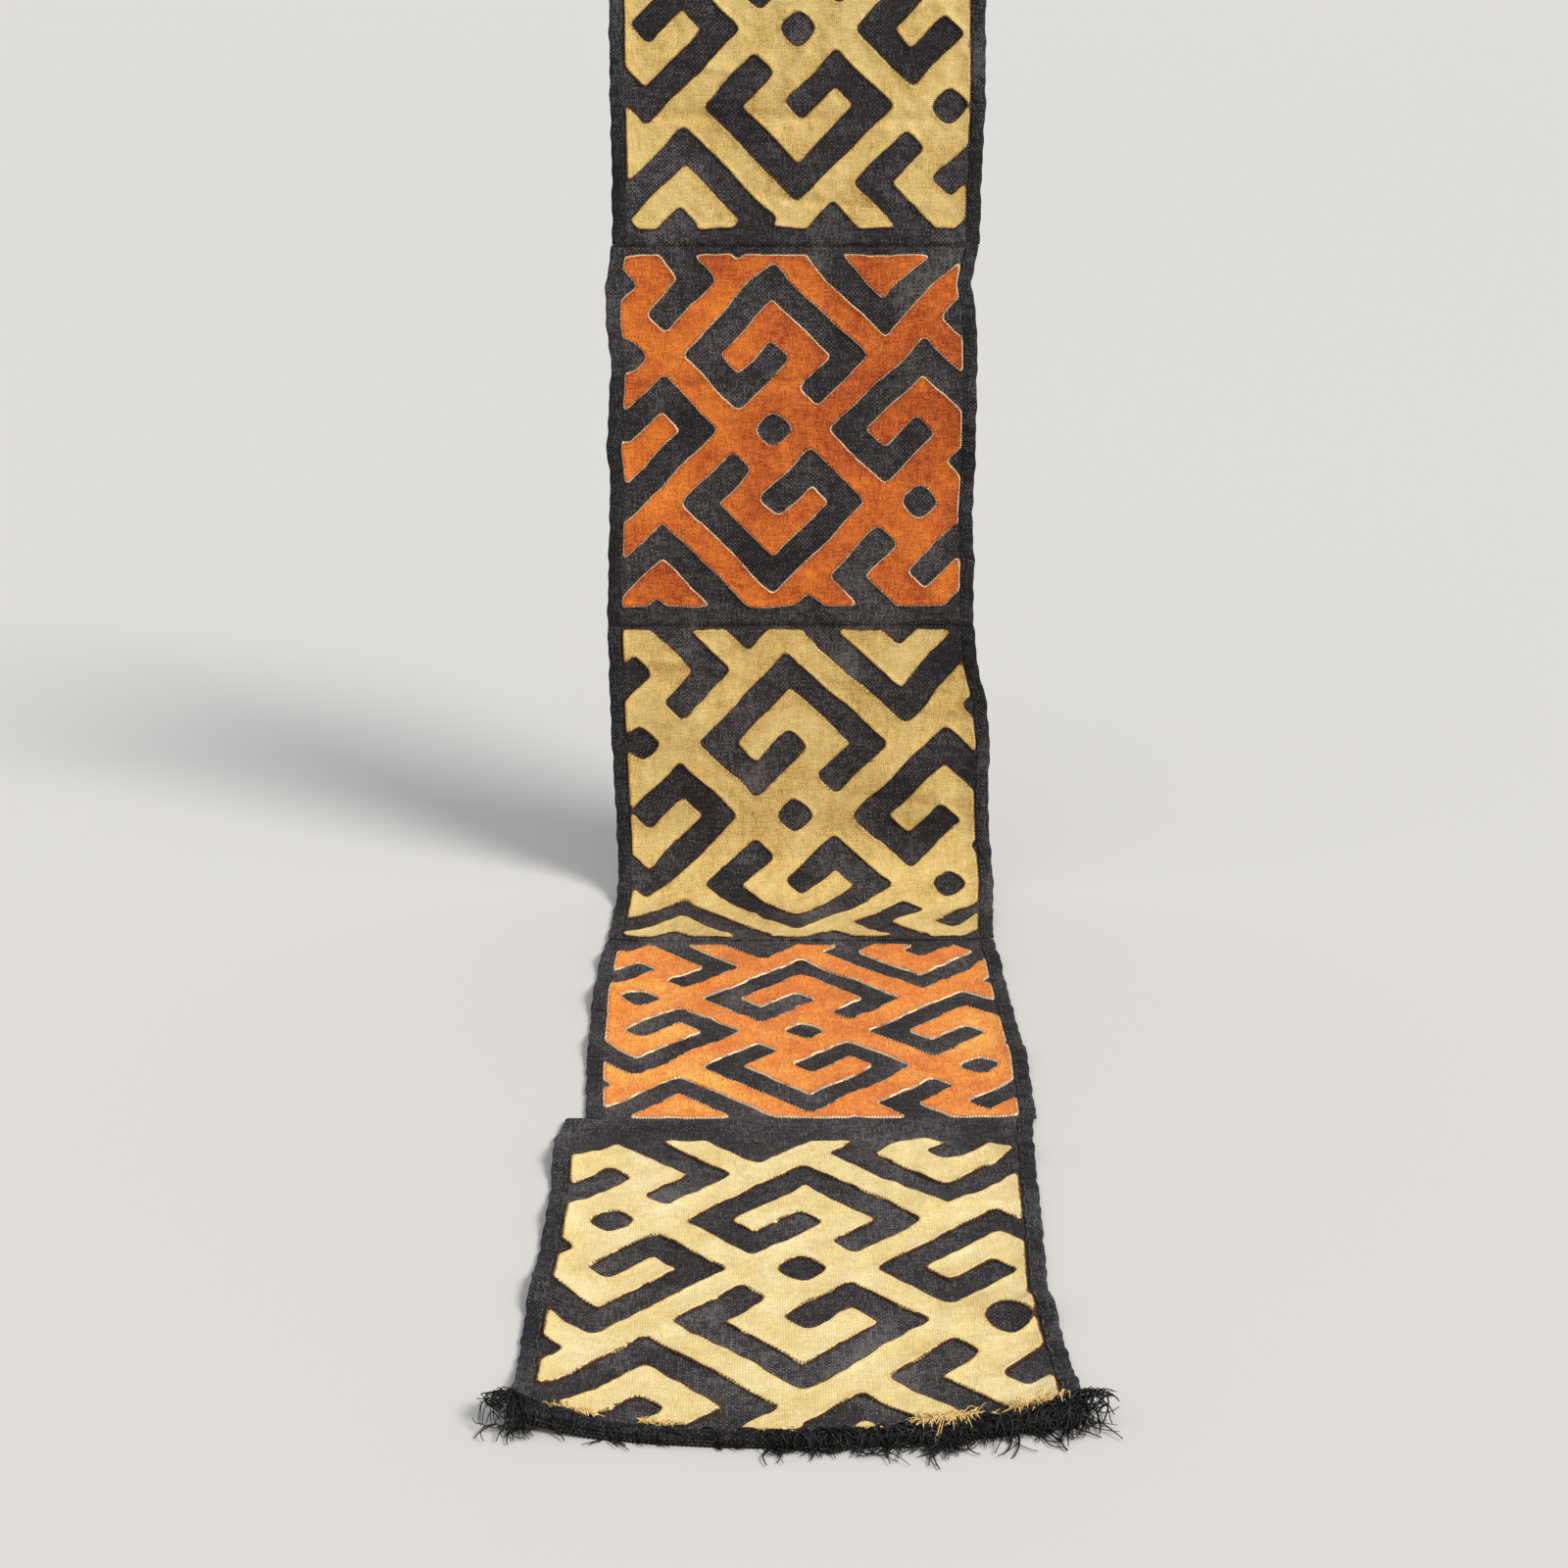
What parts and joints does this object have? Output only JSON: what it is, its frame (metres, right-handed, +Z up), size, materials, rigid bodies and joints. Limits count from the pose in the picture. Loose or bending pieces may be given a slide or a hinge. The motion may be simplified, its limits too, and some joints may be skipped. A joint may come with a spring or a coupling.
{
  "type": "kuba raffia cloth runner",
  "caption": "Long runner of square black raffia panels with yellow and orange cut-work hooks and spirals, bound sides, an end band and a fringe, hanging down and bending on to the floor.",
  "frame": {"origin": "on the floor under the middle of the last panel, at the flat underside of the lying cloth", "axes": "+Z up; +X across the cloth, to the viewer's right; the lying end points along -Y and the hanging part stands toward +Y"},
  "size_m": [0.3808, 1.0076, 0.9273],
  "materials": {
    "black_ground": "charcoal-dyed plain-woven raffia, dull, with paler worn threads",
    "black_binding": "charcoal-dyed raffia strip, folded and crinkled",
    "black_band": "ribbed black raffia band",
    "black_raffia": "raw black raffia strands, slightly glossy",
    "yellow_cloth": "straw-yellow plain-woven raffia, streaked",
    "orange_cloth": "orange-dyed plain-woven raffia, uneven dye",
    "rust_thread": "dark rust-brown raffia thread",
    "cream_thread": "undyed cream raffia thread"
  },
  "bodies": {
    "root": {"ground_1": "black_ground", "overlay_1": "yellow_cloth", "binding_left_1": "black_binding", "binding_right_1": "black_binding", "ground_2": "black_ground", "overlay_2": "orange_cloth", "binding_left_2": "black_binding", "binding_right_2": "black_binding", "ground_3": "black_ground", "overlay_3": "yellow_cloth", "binding_left_3": "black_binding", "binding_right_3": "black_binding", "ground_4": "black_ground", "overlay_4": "orange_cloth", "binding_left_4": "black_binding", "binding_right_4": "black_binding", "ground_5": "black_ground", "overlay_5": "yellow_cloth", "binding_left_5": "black_binding", "binding_right_5": "black_binding", "end_band": "black_band", "fringe": "black_raffia"}
  },
  "joints": []
}
